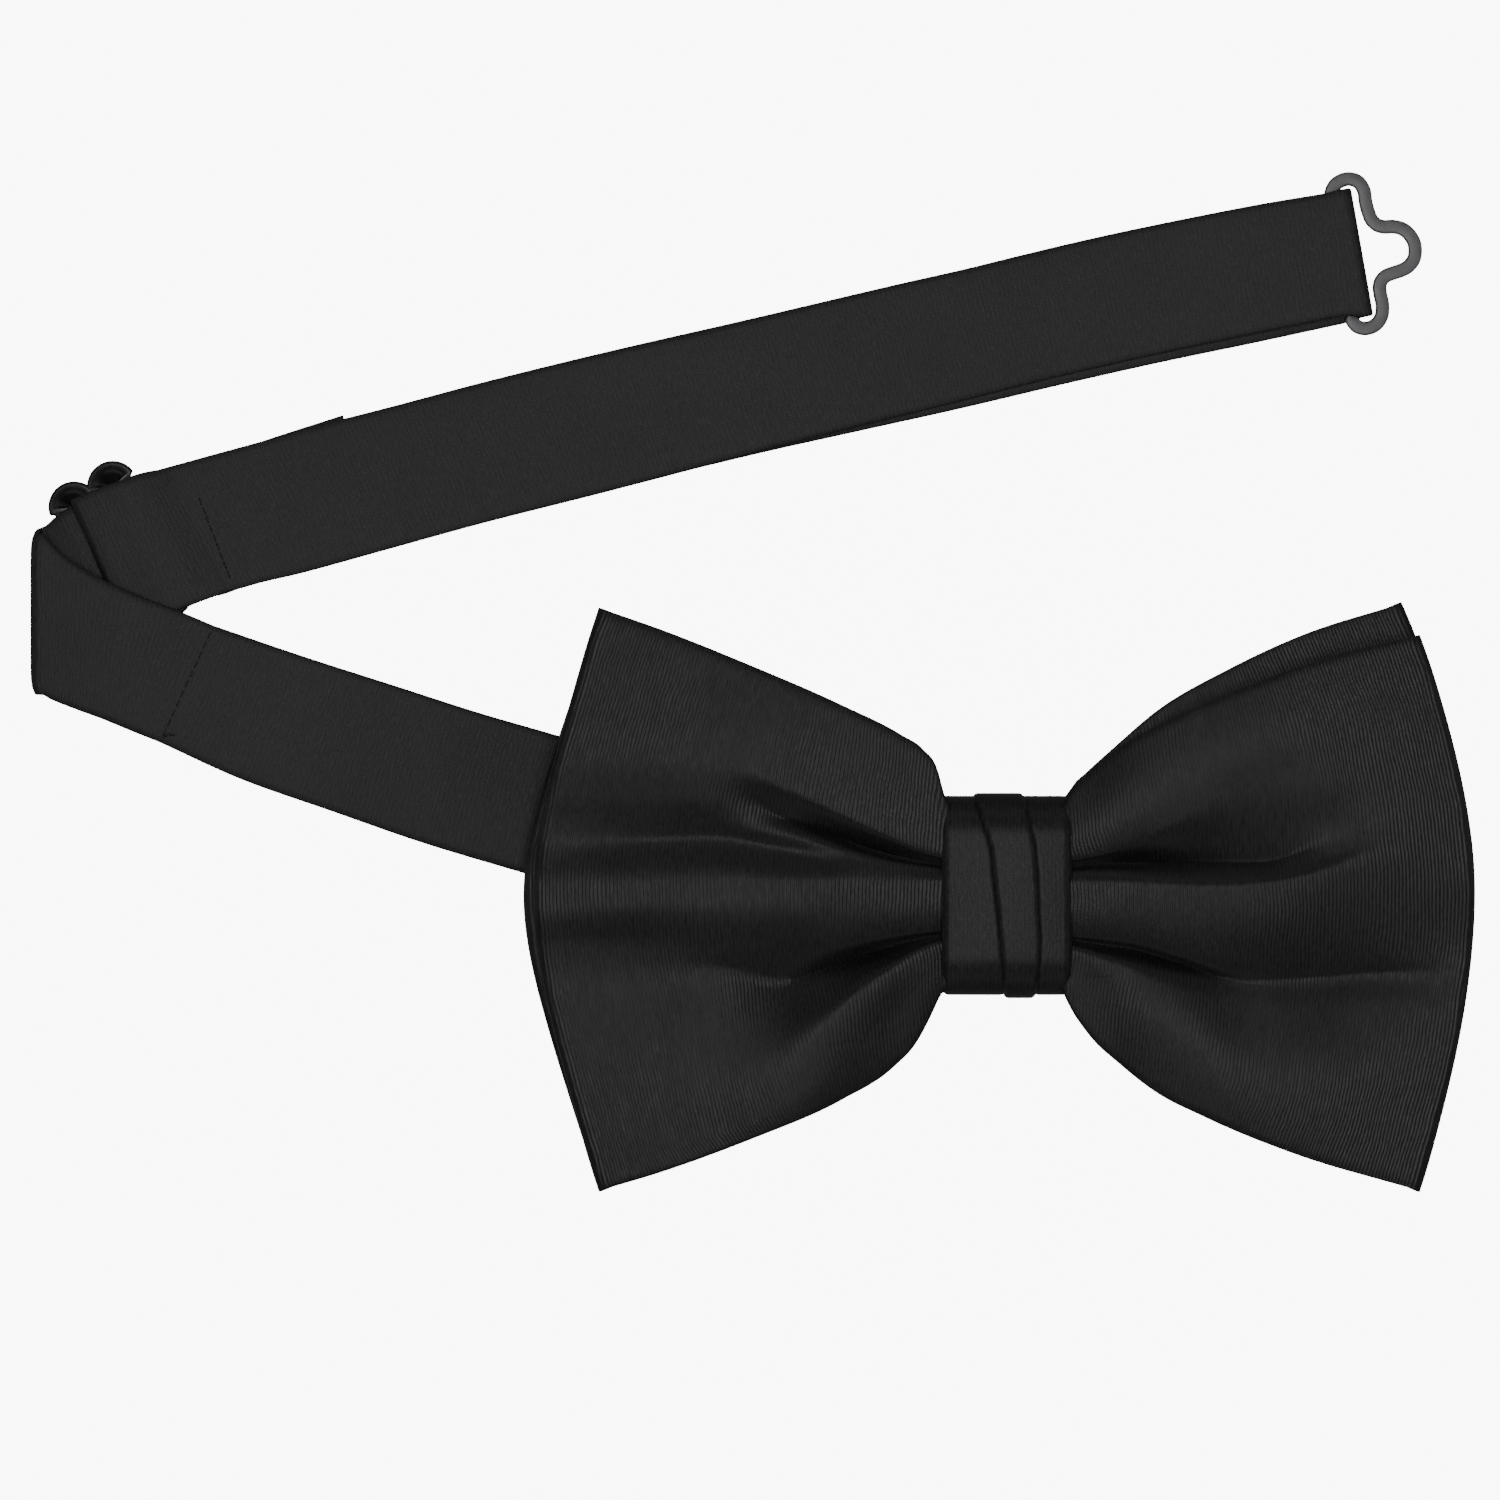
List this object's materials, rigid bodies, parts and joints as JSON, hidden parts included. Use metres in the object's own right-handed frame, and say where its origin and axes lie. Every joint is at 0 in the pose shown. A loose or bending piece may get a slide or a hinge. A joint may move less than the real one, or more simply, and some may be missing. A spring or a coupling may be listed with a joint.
{
  "type": "bow tie",
  "caption": "Ready-tied satin butterfly bow tie: gathered loops at a pleated knot, flat adjustable neck band with a slide, a hook and an eye.",
  "frame": {"origin": "middle of the knot's flat back face, on the surface the bow tie lies on", "axes": "+X along the bow to its free side, +Y up the height of the wings, +Z out of the front of the bow"},
  "size_m": [0.1837, 0.129, 0.0179],
  "materials": {
    "satin": "black ribbed satin, soft sheen",
    "band_satin": "black ribbed satin, laid flat",
    "interlining": "matt black woven interlining",
    "thread": "black polyester sewing thread",
    "adjuster_lacquer": "gloss black lacquer over stamped steel",
    "clasp_metal": "grey satin metal, stamped"
  },
  "bodies": {
    "bow": {"front_bow_satin": "satin", "front_bow_interlining": "interlining", "back_bow_satin": "satin", "back_bow_interlining": "interlining", "knot_wrap": "satin", "gather_thread": "thread", "band_anchor": "band_satin", "hook_tab": "band_satin", "hook_tab_stitch": "thread"},
    "hook": {"neck_hook": "clasp_metal"},
    "band_lower": {"band_inner_section": "band_satin", "band_seam_stitch": "thread", "band_outer_section": "band_satin", "band_fold_turn": "band_satin"},
    "band_upper": {"band_feed": "band_satin"},
    "adjuster": {"adjuster_slide": "adjuster_lacquer", "adjuster_weave": "band_satin", "adjuster_wrap": "band_satin", "adjuster_wrap_stitch": "thread", "loop_back_layer": "band_satin", "loop_front_layer": "band_satin"},
    "loop_end": {"loop_end_fold": "band_satin"},
    "clasp": {"clasp_eye": "clasp_metal"}
  },
  "joints": [
    {"name": "band_swing", "type": "hinge", "parent": "bow", "child": "band_lower", "pos_m": [-0.01145, 0.00078, 0.0016], "axis": [-0.1408, -0.99, 0], "range_deg": [0, 80]},
    {"name": "band_fold", "type": "hinge", "parent": "band_lower", "child": "band_upper", "pos_m": [-0.1226, 0.0363, 0.0044], "axis": [0, 1, 0], "range_deg": [0, 170], "deforming": ["band_fold_turn"]},
    {"name": "adjuster_slide_travel", "type": "slide", "parent": "band_upper", "child": "adjuster", "axis": [0.9711, 0.2386, 0], "range_m": [0, 0.23], "deforming": ["loop_back_layer"]},
    {"name": "loop_travel", "type": "slide", "parent": "adjuster", "child": "loop_end", "axis": [0.9711, 0.2386, 0], "range_m": [-0.115, 0], "deforming": ["loop_front_layer"]},
    {"name": "clasp_swivel", "type": "hinge", "parent": "loop_end", "child": "clasp", "pos_m": [0.0431, 0.0815, 0.0016], "axis": [-0.1736, 0.9848, 0], "range_deg": [-90, 90]},
    {"name": "hook_swivel", "type": "hinge", "parent": "bow", "child": "hook", "pos_m": [0.021, 0, 0.00155], "axis": [0, 1, 0], "range_deg": [-4, 85]}
  ],
  "couplings": [
    {"joint": "loop_travel", "follows": "adjuster_slide_travel", "ratio": -0.5}
  ]
}
